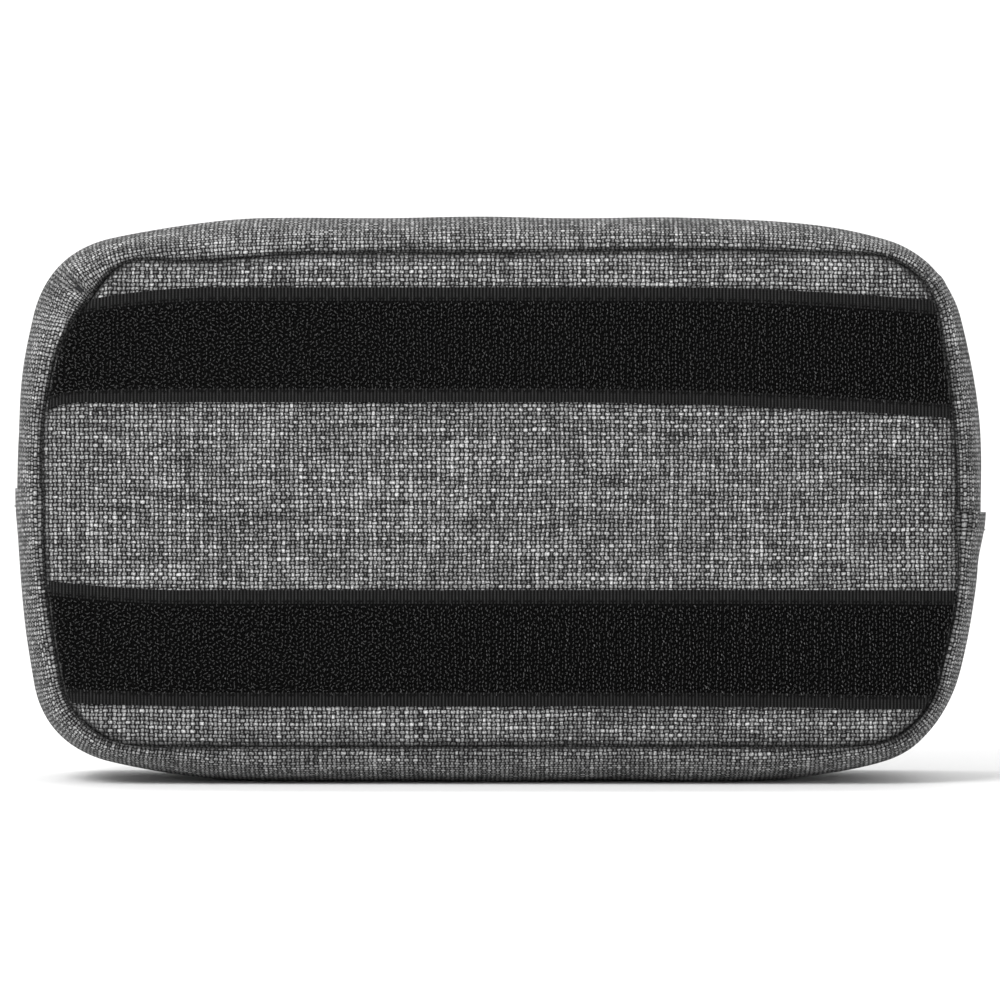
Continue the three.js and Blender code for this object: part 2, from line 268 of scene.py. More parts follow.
def addAreaLight(name, at, towards, size, power):
    data = bpy.data.lights.new(name, "AREA")
    data.shape = "RECTANGLE"
    data.size, data.size_y = size
    data.energy = power
    lamp = bpy.data.objects.new(name, data)
    bpy.context.scene.collection.objects.link(lamp)
    lamp.location = at
    lamp.rotation_euler = (Vector(towards) - Vector(at)).to_track_quat("-Z", "Y").to_euler()


def addStudio():
    # a pale sweep: floor, a round bend and a back wall
    back, bend, wide = sweep["back"], sweep["bend"], sweep["halfWidth"]
    turns = np.linspace(0.1, math.pi / 2, 14)
    profile = [(sweep["front"], 0.0), (back, 0.0)]
    profile += [(back + bend * math.sin(a), bend * (1 - math.cos(a))) for a in turns]
    profile += [(back + bend, sweep["height"])]
    points = np.array([(x, y, z) for x in (-wide, wide) for y, z in profile]) / mm
    material, put, shader = newMaterial("paintedStudioSweep", Roughness=0.95)
    place = put("TexCoord", take="Object")
    grain = put("TexNoise", {"Vector": place, "Scale": 3.0})
    colour = mixColours(put, grain, toLinear("#f4f4f4"), toLinear("#f8f8f8"))
    feed(shader, "Base Color", colour)
    floor = {"points": points, "faces": gridFaces(2, len(profile)), "cloth": points, "material": material}
    buildPiece("studio_sweep", [floor], closed=False)
    world = bpy.data.worlds.new("studio")
    bpy.context.scene.world = world
    world.use_nodes = True
    background = world.node_tree.nodes["Background"]
    background.inputs["Color"].default_value = (1, 1, 1, 1)
    background.inputs["Strength"].default_value = skyLight
    for name, lamp in lamps.items():
        addAreaLight(name, **lamp)
    bpy.context.scene.view_settings.view_transform = "Standard"


addCamera()
addStudio()
print("studio ready")


def threadHeight(put, place, cell, rise, wide):
    # a round thread's height over one cell; minus one where the thread doesn't reach
    offset = put("Math:SUBTRACT", (place, cell))
    offset = put("Math:SUBTRACT", (offset, 0.5))
    ratio = put("Math:DIVIDE", (offset, wide))
    left = put("Math:SUBTRACT", (1.0, put("Math:MULTIPLY", (ratio, ratio))))
    bow = put("Math:SQRT", (put("Math:MAXIMUM", (left, 0.0)),))
    flatter = put("Clamp", {"Value": put("Math:MULTIPLY", (rise, 1.7)), "Min": -1.0})
    swell = put("Math:MULTIPLY_ADD", (flatter, 0.42, put("Math:MULTIPLY", (bow, 0.58))))
    covers = put("Math:GREATER_THAN", (left, 0.0))
    return put("Mix", {0: covers, 2: -1.0, 3: swell}, data_type="FLOAT")


def threadTone(put, along, cell, length, seed):
    # a tone that runs along one thread for a while and differs from the next thread
    place = put("CombineXYZ", (put("Math:DIVIDE", (along, length)),
                                     put("Math:MULTIPLY", (cell, 7.31)), seed))
    return put("TexNoise", {"Vector": place, "Scale": 1.0, "Detail": 2.0, "Roughness": 0.6})


def wovenCells(put, spec):
    # a plain weave: over-and-under threads from the cloth's own millimetres, with a hand-made unevenness
    cloth = put("Attribute", take="Vector", attribute_name="cloth")
    slow, fast = spec.get("drift", 1.6), spec.get("wobble", 0.5)
    drift = put("TexNoise", {"Vector": cloth, "Scale": 0.022, "Detail": 1.0}, "Color")
    wobble = put("TexNoise", {"Vector": cloth, "Scale": 0.42, "Detail": 1.0}, "Color")
    threads = (1 / spec["across"], 1 / spec["down"], 0)
    place = put("VectorMath:MULTIPLY_ADD", (cloth, threads, (-(slow + fast) / 2,) * 3))
    place = put("VectorMath:MULTIPLY_ADD", (drift, (slow, slow, 0), place))
    place = put("VectorMath:MULTIPLY_ADD", (wobble, (fast, fast, 0), place))
    u = put("SeparateXYZ", (place,))
    v = u.node.outputs[1]
    rises = []
    for mine, other in ((u, v), (v, u)):
        lane = put("Math:MULTIPLY", (put("Math:FLOOR", (other,)), math.pi))
        wave = put("Math:SINE", (put("Math:MULTIPLY", (mine, math.pi)),))
        side = put("Math:COSINE", (lane,))
        rises.append(put("Math:MULTIPLY", (wave, side)))
    weftRise = rises[0]
    warpRise = put("Math:MULTIPLY", (rises[1], -1.0))
    return place, u, v, weftRise, warpRise


def finishSurface(put, shader, spec, tone, swing, height, strength):
    # roughness swings with the tone, and the relief follows the height
    low, high = spec["rough"] - swing, spec["rough"] + swing
    rough = put("MapRange", {"Value": tone, "To Min": low, "To Max": high})
    feed(shader, "Roughness", rough)
    depth = spec.get("relief", 0.04) * mm
    bump = put("Bump", {"Strength": strength, "Distance": depth, "Height": height})
    feed(shader, "Normal", bump)


def wovenCloth(name, spec, **uniform):
    # plain-woven yarns, each round and dull, with painted shade in the holes between them and on each yarn's
    # sinking sides; melange yarns change tone along their length, so pale and dark slubs run across and down
    # the cloth
    material, put, shader = newMaterial(name, **uniform)
    cells, u, v, weftRise, warpRise = wovenCells(put, spec)
    iu, iv = (put("Math:FLOOR", (x,)) for x in (u, v))
    tones, heights = [], []
    for along, cell, place, rise, wide, length, seed in (
            (u, iv, v, weftRise, spec["weftWide"], spec["weftSlub"], 3.1),
            (v, iu, u, warpRise, spec["warpWide"], spec["warpSlub"], 5.7)):
        slub = threadTone(put, along, cell, length, seed)
        fleck = threadTone(put, along, cell, spec["fleck"], seed + 5.3)
        tone = put("Math:ADD", (put("Math:MULTIPLY", (slub, spec["slubShare"])), fleck))
        tones.append(put("Math:DIVIDE", (tone, 1 + spec["slubShare"])))
        swell = put("Math:MULTIPLY_ADD", (slub, spec["slubSwell"], wide - spec["slubSwell"] / 2))
        heights.append(threadHeight(put, place, cell, rise, swell))
    weftOver = put("Math:GREATER_THAN", tuple(heights))
    height = put("Math:MAXIMUM", tuple(heights))
    tone = put("Mix", {0: weftOver, 2: tones[1], 3: tones[0]}, data_type="FLOAT")
    hairs = put("TexNoise", {"Vector": cells, "Scale": 3.1, "Detail": 2.0})
    hairs = put("Math:SUBTRACT", (hairs, 0.5))
    tone = put("Math:MULTIPLY_ADD", (hairs, spec.get("hair", 0.1), tone))
    ramp = put("ValToRGB", (tone,))
    elements = ramp.node.color_ramp.elements
    elements[0].position, elements[0].color = spec["darkAt"], toLinear(spec["dark"])
    elements[1].position, elements[1].color = spec["lightAt"], toLinear(spec["light"])
    elements.new(0.5).color = toLinear(spec["middle"])
    # painted shade: the colour darkens to the hole colour where a yarn sinks between its neighbours
    lit = put("MapRange", {"Value": height, "From Min": spec["holeAt"], "From Max": spec["topAt"]})
    # painted shade along the seams: the cloth is darkened where it turns into a seam, where little light
    # reaches
    seamShading = put("Attribute", take="Fac", attribute_name="pinch")
    lit = put("Math:MULTIPLY", (lit, put("Math:SUBTRACT", (1.0, seamShading))))
    colour = mixColours(put, lit, toLinear(spec["hole"]), ramp)
    feed(shader, "Base Color", colour)
    finishSurface(put, shader, spec, tone, -0.08, height, 0.8)
    return material


def ribbedTape(name, spec, **uniform):
    # narrow woven tape: close ribs across it, each rib's own slight change of tone, and painted shade
    # between the ribs
    material, put, shader = newMaterial(name, **uniform)
    cloth = put("Attribute", take="Vector", attribute_name="cloth")
    u = put("SeparateXYZ", (cloth,))
    v = u.node.outputs[1]
    waves = []
    ribPower = spec.get("ribPower", 0.7)
    for along, pitch, power in ((u, spec["rib"], ribPower), (v, spec["pick"], spec["pickPower"])):
        phase = put("Math:MULTIPLY", (along, math.pi / pitch))
        wave = put("Math:ABSOLUTE", (put("Math:SINE", (phase,)),))
        waves.append(put("Math:POWER", (wave, power)))
    height = put("Math:MULTIPLY", tuple(waves))
    rib = put("Math:FLOOR", (put("Math:DIVIDE", (u, spec["rib"])),))
    tone = threadTone(put, v, rib, 4.0, 2.2)
    thread = mixColours(put, tone, toLinear(spec["dark"]), toLinear(spec["light"]))
    # painted shade: the low parts between ribs and picks take the dark hole colour
    colour = mixColours(put, height, toLinear(spec["hole"]), thread)
    feed(shader, "Base Color", colour)
    finishSurface(put, shader, spec, tone, 0.1, height, 0.8)
    return material


def evenFinish(name, spec, **uniform):
    # moulded, drawn or plated parts: a nearly even colour, with fine scuffs in its shine
    material, put, shader = newMaterial(name, **uniform)
    place = put("TexCoord", take="Object")
    grain = put("TexNoise", {"Vector": place, "Scale": 1 / (spec["grain"] * mm), "Detail": 3.0})
    colour = mixColours(put, grain, toLinear(spec["dark"]), toLinear(spec["light"]))
    feed(shader, "Base Color", colour)
    finishSurface(put, shader, spec, grain, 0.1, grain, 0.4)
    return material


# melange polyester in a coarse plain weave: about ten threads to the centimetre, pale and dark slubs
heather = {
    "across": 0.98, "down": 0.865,  # mm between threads
    "weftWide": 0.36, "warpWide": 0.27,  # half widths, as shares of the spacing
    "weftSlub": 16.0, "warpSlub": 9.0, "fleck": 1.3, "slubShare": 1.2, "slubSwell": 0.36,
    "hole": "#040404", "dark": "#3a3a3a", "middle": "#7d7d7d", "light": "#cecece", "hair": 0.66,
    "darkAt": 0.33, "lightAt": 0.71, "holeAt": 0.3, "topAt": 0.98, "wobble": 0.62,
    "rough": 0.88, "relief": 0.3,
}
heatherPolyester = wovenCloth("wovenHeatherPolyester", heather, Specular_IOR_Level=0.2, Sheen_Weight=0.05)
# filament nylon in a close plain weave: dark, slightly shiny
lining = {
    "across": 0.5, "down": 0.5, "weftWide": 0.48, "warpWide": 0.48,
    "weftSlub": 9.0, "warpSlub": 9.0, "fleck": 3.0, "slubShare": 1.0, "slubSwell": 0.1,
    "hole": "#0a0a0b", "dark": "#222326", "middle": "#303236", "light": "#43464b",
    "darkAt": 0.3, "lightAt": 0.75, "holeAt": 0.0, "topAt": 0.9, "wobble": 0.15,
    "rough": 0.6, "relief": 0.08,
}
liningNylon = wovenCloth("wovenNylonLining", lining, Sheen_Weight=0.1)
# the zip's tape is woven closer still, and is dull
zipTape = lining | {
    "across": 0.42, "down": 0.6, "warpWide": 0.46, "weftSlub": 6.0, "warpSlub": 6.0, "fleck": 2.0,
    "hole": "#070707", "dark": "#171819", "middle": "#212224", "light": "#303133",
    "rough": 0.78, "relief": 0.1, "wobble": 0.1,
}
zipWeave = wovenCloth("wovenPolyesterZipTape", zipTape)
# woven nylon ground of hook tape; its bare edges show close upright ribs
hookGround = ribbedTape("wovenHookTapeGround", {
    "rib": 0.735, "ribPower": 3.2, "pick": 0.5, "pickPower": 0.15,
    "hole": "#020202", "dark": "#161616", "light": "#3e3e3e", "rough": 0.85, "relief": 0.26},
    Specular_IOR_Level=0.12)
# the same ground between the hooks, where little light reaches it
hookField = ribbedTape("wovenHookTapeField", {
    "rib": 0.74, "pick": 0.86, "pickPower": 0.6,
    "hole": "#020202", "dark": "#090909", "light": "#111111", "rough": 0.9, "relief": 0.2},
    Specular_IOR_Level=0.05)
# tape and elastic with a dull rib across them
grosgrain = ribbedTape("wovenGrosgrainBinding", {
    "rib": 0.8, "pick": 0.4, "pickPower": 0.1,
    "hole": "#08080a", "dark": "#18191b", "light": "#292a2d", "rough": 0.76, "relief": 0.18})
ribbedElastic = ribbedTape("wovenRibbedElastic", {
    "rib": 0.55, "pick": 1.4, "pickPower": 0.5,
    "hole": "#070708", "dark": "#15161a", "light": "#28292d", "rough": 0.82, "relief": 0.25})
# drawn nylon, a little shiny where the light catches each filament
hookNylon = evenFinish("drawnNylonHooks", {
    "dark": "#121212", "light": "#505050", "rough": 0.4, "grain": 0.5}, Specular_IOR_Level=0.4)
coilNylon = evenFinish("drawnNylonCoil", {
    "dark": "#121213", "light": "#222325", "rough": 0.35, "grain": 0.5})
# spun and knitted yarns, dull and a little hairy
sewingThread = evenFinish("spunPolyesterThread", {
    "dark": "#050505", "light": "#101010", "rough": 0.8, "grain": 0.3}, Specular_IOR_Level=0.1)
greyThread = evenFinish("spunPolyesterGreyThread", {
    "dark": "#3a3a3a", "light": "#6d6d6d", "rough": 0.8, "grain": 0.5})
netYarn = evenFinish("knittedPolyesterNet", {
    "dark": "#1a1b1d", "light": "#2e3033", "rough": 0.7, "grain": 0.4})
# zinc, cast and plated: a cool dark shine with faint scuffs
gunmetal = evenFinish("platedZincCasting", {
    "dark": "#5a5c60", "light": "#74767b", "rough": 0.3, "grain": 0.9, "relief": 0.01}, Metallic=1.0)
# foam with fine closed cells, pale and dull
polyFoam = evenFinish("closedCellFoam", {
    "dark": "#bdbcb5", "light": "#e6e5df", "rough": 0.9, "grain": 0.8, "relief": 0.25})
print("materials ready")


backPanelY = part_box("back_panel_outer")[0].y / mm
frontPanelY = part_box("front_panel_upper_outer")[1].y / mm
zipLane = [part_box("upper_gusset_outer")[1].y / mm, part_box("front_gusset_strip")[0].y / mm]

outlines = {
    "crest": {"halfWidth": 105.2, "halfHeight": 61.5, "straight": 52,
              "shoulder": 122, "corner": 23, "side": 190},
    "seam": {"halfWidth": 98.3, "halfHeight": 53.0, "straight": 68,
             "shoulder": 300, "corner": 17, "side": 185},
}
# where the sewing draws the cloth in or lets it out: place, move and reach, in millimetres from the middle
seamPulls = [
    ((-89, 44), (3.1, -3.0), 9.5),
    ((-66, 53), (0, -1.8), 16),
    ((-97, 14), (-0.6, 0), 10),
    ((92, 46), (0.4, 0.6), 10),
    ((40, 53), (0, 0.8), 24),
    ((97, -20), (1.1, 0), 13),
]
crestPulls = [
    ((-97, 52), (-0.8, 0.7), 12),
    ((-97, -50), (-0.9, -0.9), 14),
    ((97, -46), (-1.2, 1.0), 14),
    ((-105, 28), (-1.5, 0), 16),
    ((-105, -28), (-0.7, 0), 14),
    ((105, 12), (0.9, 0), 16),
    ((-58, 60), (0, 0.3), 17),
    ((83, 50), (-0.1, -0.3), 14),
    ((-8, 61), (0, 0.6), 34),
]


def tangentCentre(p, a, q, b):
    # the point at distance a from p and b from q, on the outer side
    apart = np.hypot(*(q - p))
    way = (q - p) / apart
    along = (a * a - b * b + apart * apart) / (2 * apart)
    across = math.sqrt(a * a - along * along)
    return p + way * along + np.array([way[1], -way[0]]) * across


def quarterPoint(shape, segment, part):
    # a point and its outward direction on a quarter: side arc, corner arc, shoulder arc, straight
    radii = [shape[name] for name in ("side", "corner", "shoulder")]
    shoulder = np.array([shape["straight"], shape["halfHeight"] - shape["shoulder"]], float)
    side = np.array([shape["halfWidth"] - shape["side"], 0.0])
    corner = tangentCentre(shoulder, radii[2] - radii[1], side, radii[0] - radii[1])
    turns = [0, math.atan2(*(corner - side)[::-1]), math.atan2(*(corner - shoulder)[::-1]), math.pi / 2]
    if segment == 3:
        return np.array([shape["straight"] * (1 - part), shape["halfHeight"]]), np.array([0.0, 1.0])
    angle = turns[segment] + (turns[segment + 1] - turns[segment]) * part
    way = np.array([math.cos(angle), math.sin(angle)])
    return (side, corner, shoulder)[segment] + radii[segment] * way, way


def loopStations(step):
    # stations round the whole outline, anticlockwise from the middle of the right side
    quarter = []
    for segment in range(4):
        ends = np.array([quarterPoint(outlines["crest"], segment, p)[0] for p in np.linspace(0, 1, 12)])
        count = max(3, round(np.linalg.norm(np.diff(ends, axis=0), axis=1).sum() / step))
        quarter += [(segment, i / count) for i in range(count)]
    back = quarter[:0:-1]
    quarter, back = quarter, [(3, 1.0)] + back
    signed = [((1, 1), quarter), ((-1, 1), back), ((-1, -1), quarter), ((1, -1), back)]
    return [(sx, sz, s, p) for (sx, sz), run in signed for s, p in run]


def ringOf(name, pulls):
    points, ways = [], []
    for sx, sz, segment, part in stations:
        point, way = quarterPoint(outlines[name], segment, part)
        points.append(point * (sx, sz))
        ways.append(way * (sx, sz))
    points = np.array(points)
    moved = points.copy()
    for at, move, reach in pulls:
        away = np.linalg.norm(points - at, axis=1)
        moved += bell(away, reach)[:, None] * np.array(move)
    return moved, np.array(ways)


def inwardTo(ring):
    # how far each crest station lies outside a ring, straight inwards
    a, edge = ring, np.roll(ring, -1, 0) - ring
    found = []
    for point, way in zip(crestRing, crestWays):
        gap = a - point
        turn = -way[0] * edge[:, 1] + way[1] * edge[:, 0]
        along = (gap[:, 0] * edge[:, 1] - gap[:, 1] * edge[:, 0]) / turn
        part = (-gap[:, 0] * way[1] + gap[:, 1] * way[0]) / turn
        found.append(along[(along > 0) & (part >= -0.01) & (part <= 1.01)].min())
    found = np.array(found)
    return sum(np.roll(found, k) for k in (-2, -1, 0, 1, 2)) / 5


stations = loopStations(1.3)
stationCount = len(stations)
crestRing, crestWays = ringOf("crest", crestPulls)
seamRing, seamWays = ringOf("seam", seamPulls)
frontSeamRing, _ = ringOf("seam", [])
backInset, frontInset = inwardTo(seamRing), inwardTo(frontSeamRing)
nextGap = np.linalg.norm(np.roll(crestRing, -1, 0) - crestRing, axis=1)
ringLength = np.concatenate([[0], np.cumsum(nextGap)[:-1]])
print("outline has", stationCount, "stations,", round(nextGap.sum()), "mm round")


panel = {
    "rollReach": 4.0, "rollPower": 0.84,  # mm from the seam over which the cloth turns in, and how bluntly
    "crownReach": 34,
    "wave": 0.28, "waveLength": 34, "waveReach": 14,
    "pucker": 0.16, "puckerLength": 9, "puckerAt": 3.5, "puckerReach": 3.0,
    "pinch": 0.85, "seamShadeReach": 0.8,  # how dark the painted shade along the seam is, and over how many millimetres
}


def patch(ring, across, down):
    # a grid of points inside a ring, whose four sides meet in the middles of the round corners
    corners = []
    for quarter in ((1, 1), (-1, 1), (-1, -1), (1, -1)):
        corners.append(min(range(stationCount), key=lambda k: abs(stations[k][3] - 0.5)
                           if stations[k][:3] == quarter + (1,) else 9))
    runs = []
    for k, count in enumerate((across, down, across, down)):
        a, b = corners[k], corners[(k + 1) % 4]
        runs.append(resample(ring[a:b + 1] if b > a else np.concatenate([ring[a:], ring[:b + 1]]), count))
    top, left, bottom, right = runs[0][::-1], runs[1][::-1], runs[2], runs[3]
    u = np.linspace(0, 1, across)[:, None, None]
    v = np.linspace(0, 1, down)[None, :, None]
    flat = (1 - u) * (1 - v) * bottom[0] + u * (1 - v) * bottom[-1] + (1 - u) * v * top[0] + u * v * top[-1]
    return (1 - v) * bottom[:, None] + v * top[:, None] + (1 - u) * left[None] + u * right[None] - flat


def insideBy(points, ring):
    # how far each point lies from the ring, in millimetres
    flat = points.reshape(-1, 2)
    nearest = np.full(len(flat), 1e9)
    a, edge = ring, np.roll(ring, -1, 0) - ring
    for start in range(0, len(flat), 3000):
        gap = flat[start:start + 3000, None] - a
        along = np.clip((gap * edge).sum(-1) / (edge ** 2).sum(-1), 0, 1)
        nearest[start:start + 3000] = np.linalg.norm(gap - along[..., None] * edge, axis=-1).min(1)
    return nearest.reshape(points.shape[:-1])


def standsOut(flat, spec):
    # how far a panel's face stands out from its seam
    inside, seed = insideBy(flat, spec["ring"]), spec["seed"]
    solid = np.concatenate([flat, np.zeros(flat.shape[:-1] + (1,))], -1)
    turned = 1 - np.clip(inside / panel["rollReach"], 0, 1)
    roll = np.sqrt(np.clip(1 - turned ** 2, 0, 1)) ** panel["rollPower"]
    soft = ripple(solid, panel["waveLength"], seed) * panel["wave"] * smooth(inside / panel["waveReach"])
    pucker = ripple(solid, panel["puckerLength"], seed + 1) * panel["pucker"]
    pucker *= bell(inside - panel["puckerAt"], panel["puckerReach"])
    return spec["rollDepth"] * roll + spec["crown"] * smooth(inside / panel["crownReach"]) + soft + pucker


faces = {
    # y that the face reaches, mm that it turns in at the seam, and mm that the padding lifts its middle
    "back": {"out": -1, "ring": seamRing, "y": backPanelY, "seed": 11, "rollDepth": 4.2, "crown": 1.2},
    "front": {"out": 1, "ring": frontSeamRing, "y": frontPanelY, "seed": 23, "rollDepth": 1.3, "crown": 0.7},
}
backSeamY, frontSeamY = (f["y"] - f["out"] * (f["rollDepth"] + f["crown"]) for f in faces.values())


def faceY(side, flat):
    spec = faces[side]
    return spec["y"] + spec["out"] * (standsOut(flat, spec) - spec["rollDepth"] - spec["crown"])


def panelPart(side, grow, drop, thickness, material, size):
    spec = faces[side]
    ring = spec["ring"] + seamWays * grow
    flat = patch(ring, *size)
    grid = standing(flat, faceY(side, flat) - spec["out"] * drop)
    cloth = np.stack([flat[..., 0], flat[..., 1], np.zeros(flat.shape[:-1])], -1)
    # painted shade along the seam, darkest at the seam line and fading inwards
    pinch = panel["pinch"] * bell(insideBy(flat, spec["ring"]), panel["seamShadeReach"])
    return shellPart(grid, thickness, material, cloth, pinch=pinch)


# each layer: its name, mm that it reaches past the seam, mm under the face, thickness, material and grid
layers = {
    "Cloth": ("cloth", 0.2, 0, 0.8, heatherPolyester, (150, 86)),
    "Foam": ("foam_sheet", -1.6, 1.0, 2.4, polyFoam, (80, 50)),
    "Lining": ("lining_cloth", -1.2, 3.7, 0.5, liningNylon, (80, 50)),
}
built = {}
for side in faces:
    for key, (name, *values) in layers.items():
        built[side + key] = buildPiece(f"{side}_panel_{name}", [panelPart(side, *values)])
print("panels ready")


gusset = {
    "thickness": 0.9,
    "backRoll": 15,  # mm of depth that the rolled back edge takes
    "frontFrom": 13.5,
    "puff": 6.5,
    "lapLeft": 2.0, "lapRight": -3.0,  # heights of the laps' edges above the middle
    "riseLeft": 0.4, "riseRight": 1.15, "lapReach": 11,
    "wave": 0.24, "waveLength": 42, "pucker": 0.22, "puckerLength": 11, "puckerReach": 7,
    "liningThickness": 0.5, "liningUnder": 1.7,
}
lapStitch = {"pitch": 3.0, "length": 2.3, "radius": 0.16}
pastBack, pastFront = -99, 99  # depths beyond both seams


def gussetProfile():
    # the gusset end on, from back seam to front seam: share of the way in from the crest, and y
    turn = np.linspace(0, 1, 24) ** 1.6 * math.pi / 2
    backIn = 1 - np.sin(turn) ** 0.92
    bulge = gusset["puff"] * (1 - backIn) ** 0.36 * backIn
    backY = backSeamY + gusset["backRoll"] * (1 - np.cos(turn)) - bulge
    frontY = np.linspace(0, 1, 18) ** 0.8
    frontIn = frontY ** 3
    frontY = gusset["frontFrom"] + (frontSeamY - gusset["frontFrom"]) * frontY
    flatY = np.linspace(backY[-1], frontY[0], 16)[1:-1]
    share = np.concatenate([backIn, np.zeros(len(flatY)), frontIn])
    return np.stack([share, np.concatenate([backY, flatY, frontY])], -1)


profile = gussetProfile()


def profileBetween(low, high, count):
    # the part of the profile between two depths; the share counts as eight millimetres
    fine = resample(profile * (8, 1), 600)
    kept = fine[(fine[:, 1] >= low) & (fine[:, 1] <= high)]
    return resample(kept, count) / (8, 1)


# the fold across the top left corner, then the small pleats by it and by the other corners: start, end,
# width and depth
folds = [
    ((-86, 42.5), (-98, 50.5), 1.0, 3.0),
    ((-90, 37), (-99, 42), 1.8, 0.4),
    ((90.5, 46.5), (95, 50.5), 0.9, 0.8),
    ((-80, 51), (-76, 58), 2.0, 0.4),
    ((88, -47), (93, -51), 1.4, 0.5),
    ((-88, -46), (-93, -51), 1.6, 0.4),
]


def foldMarks(grid, share):
    # how far the folds lift the cloth: a valley along each, with a low ridge on both sides of it
    flat = np.stack([grid[..., 0], grid[..., 2] - centreZ], -1)
    marks = np.zeros(flat.shape[:-1])
    for start, end, wide, deep in folds:
        start = np.array(start, float)
        run = np.array(end, float) - start
        along = ((flat - start) @ run) / (run @ run)
        gap = flat - start - np.clip(along, 0, 1)[..., None] * run
        away = np.linalg.norm(gap, axis=-1)
        above = -np.sign(gap[..., 1] * np.sign(run[0]))
        ridge = 0.22 * bell(away - 2.6 * wide, 1.6 * wide) * (1 + 0.5 * above)
        marks += deep * (ridge - bell(away, wide)) * smooth((1.15 - along) / 0.5)
    return marks * smooth((-13 - grid[..., 1]) / 8) * smooth((1 - share) / 0.3)


def stationRun(start, end):
    return np.arange(start, end + 1) if end >= start else np.concatenate(
        [np.arange(start, stationCount), np.arange(0, end + 1)])


def gussetAt(run, shape, offset=0.0, lap=False):
    # points, outward normals and cloth millimetres of the gusset over a run of stations
    share, y = shape[:, 0], shape[:, 1]
    front = smooth((y + 6) / 16)
    inset = backInset[run][:, None] * (1 - front) + frontInset[run][:, None] * front
    flat = crestRing[run][:, None] - crestWays[run][:, None] * (inset * share)[..., None]
    grid = standing(flat, y)
    normals = gridNormals(grid)
    normals *= np.sign((normals * (grid - pouchMiddle)).sum())
    nearSeam = bell(np.minimum(y - profile[0, 1], profile[-1, 1] - y), gusset["puckerReach"])
    wave = gusset["wave"] * ripple(grid, gusset["waveLength"], 5)
    pucker = gusset["pucker"] * ripple(grid, gusset["puckerLength"], 6) * nearSeam
    lift = (wave + pucker) * (1 - share) + foldMarks(grid, share)
    along = ringLength[run].copy()
    along[1:] += np.cumsum(np.where(np.diff(along) < 0, nextGap.sum(), 0))
    if lap:
        # the turned ends stand out over the upper gusset, less so towards the zip
        ends = ((gusset["riseLeft"], along - along[0]), (gusset["riseRight"], along[-1] - along))
        for rise, fromEnd in ends:
            near = 1 - smooth((fromEnd[:, None] - 1.0) / gusset["lapReach"])
            lift += rise * near * (1 - 0.7 * smooth((y - 5) / 14))
    across = np.cumsum(np.linalg.norm(np.diff(grid, axis=1, prepend=grid[:, :1]), axis=-1), 1)
    across -= across[:, [int(np.abs(y - 5).argmin())]]
    cloth = np.stack([np.broadcast_to(along[:, None], across.shape), across, np.full(across.shape, 7.0)], -1)
    grid = grid + normals * (lift + offset)[..., None]
    grid[..., 2] = np.maximum(grid[..., 2], 0.02 - offset)  # rests flat on the floor
    # painted shade where the gusset turns into its seams
    pinch = panel["pinch"] * bell((1 - share) * inset, panel["seamShadeReach"])
    return grid, normals, cloth, pinch


def gussetPart(run, shape, thickness, material, offset=0.0, lap=False):
    grid, _, cloth, pinch = gussetAt(run, shape, offset, lap)
    return shellPart(grid, thickness, material, cloth, pinch=pinch)


def stationNear(side, height):
    onSide = [k for k in range(stationCount) if crestRing[k, 0] * side > 0]
    return min(onSide, key=lambda k: abs(crestRing[k, 1] - height))


lowerRun = stationRun(stationNear(-1, gusset["lapLeft"]), stationNear(1, gusset["lapRight"]))
upperRun = stationRun(stationNear(1, gusset["lapRight"] - 4), stationNear(-1, gusset["lapLeft"] - 4))
flapRun = stationRun(stationNear(1, 0), stationNear(-1, 0))
wholeProfile = profileBetween(pastBack, pastFront, 50)


def lapStitches():
    # one line of stitches behind each turned end of the lower gusset
    grid, normals, _, _ = gussetAt(lowerRun, wholeProfile, lap=True)
    rows = (3, len(lowerRun) - 4)
    return [stitchPart(grid[r, 1:-1], normals[r, 1:-1], lapStitch, greyThread) for r in rows]


outer = {"thickness": gusset["thickness"], "material": heatherPolyester}
inner = {"thickness": gusset["liningThickness"], "material": liningNylon, "offset": -gusset["liningUnder"]}
# each piece: its name, stations, the depths it runs between, points across and finish
gussetPieces = {
    "lowerGusset": ("lower_gusset_cloth", lowerRun, pastBack, pastFront, 50, outer | {"lap": True}),
    "upperGusset": ("upper_gusset_cloth", upperRun, pastBack, zipLane[0], 34, outer),
    "flapStrip": ("front_gusset_strip_cloth", flapRun, zipLane[1], pastFront, 10, outer),
    "lowerLining": ("lower_gusset_lining_cloth", lowerRun[2:-2], pastBack, 27, 30, inner),
    "upperLining": ("upper_gusset_lining_cloth", upperRun[2:-2], pastBack, zipLane[0] - 0.3, 24, inner),
}
for key, (name, run, low, high, count, finish) in gussetPieces.items():
    parts = [gussetPart(run, profileBetween(low, high, count), **finish)]
    built[key] = buildPiece(name, parts + (lapStitches() if "lap" in finish else []))
print("gussets ready")


tape = {
    "width": 25, "thickness": 0.5, "selvedge": 2.4, "lift": 0.55, "endLift": 0.9, "endReach": 1.5,
    "columnPitch": 0.74, "rowPitch": 0.86, "filament": 0.105,
    "stem": 0.5, "curl": 0.24, "curlHeight": 0.28, "curlMiddle": 0.85,
    "spread": 0.06, "lean": 0.16,
    "stitch": {"pitch": 2.6, "length": 2.1, "radius": 0.17},
}
# each strip's edges: height in the middle, then for its left and right ends where the drop starts, where it
# is reached, how far it drops and how sharply
strips = {
    "upper": {"top": (45.7, (-60, -90, 2.9, 2), (40, 94, 2.9, 1.6)),
              "low": (21.0, (-90, -98, 1.8, 2), (5, 97, 3.4, 2))},
    "lower": {"top": (-19.3, (-70, -97, -1.9, 1.5), (60, 98, 0.2, 2)),
              "low": (-44.3, (-70, -94, -0.7, 1), (30, 75, 0.5, 2))},
}


def stripEdge(edge, x):
    height, left, right = edge
    z = np.full(x.shape, float(height))
    for start, full, drop, power in (left, right):
        z -= drop * np.clip((x - start) / (full - start), 0, 1.15) ** power
    return z


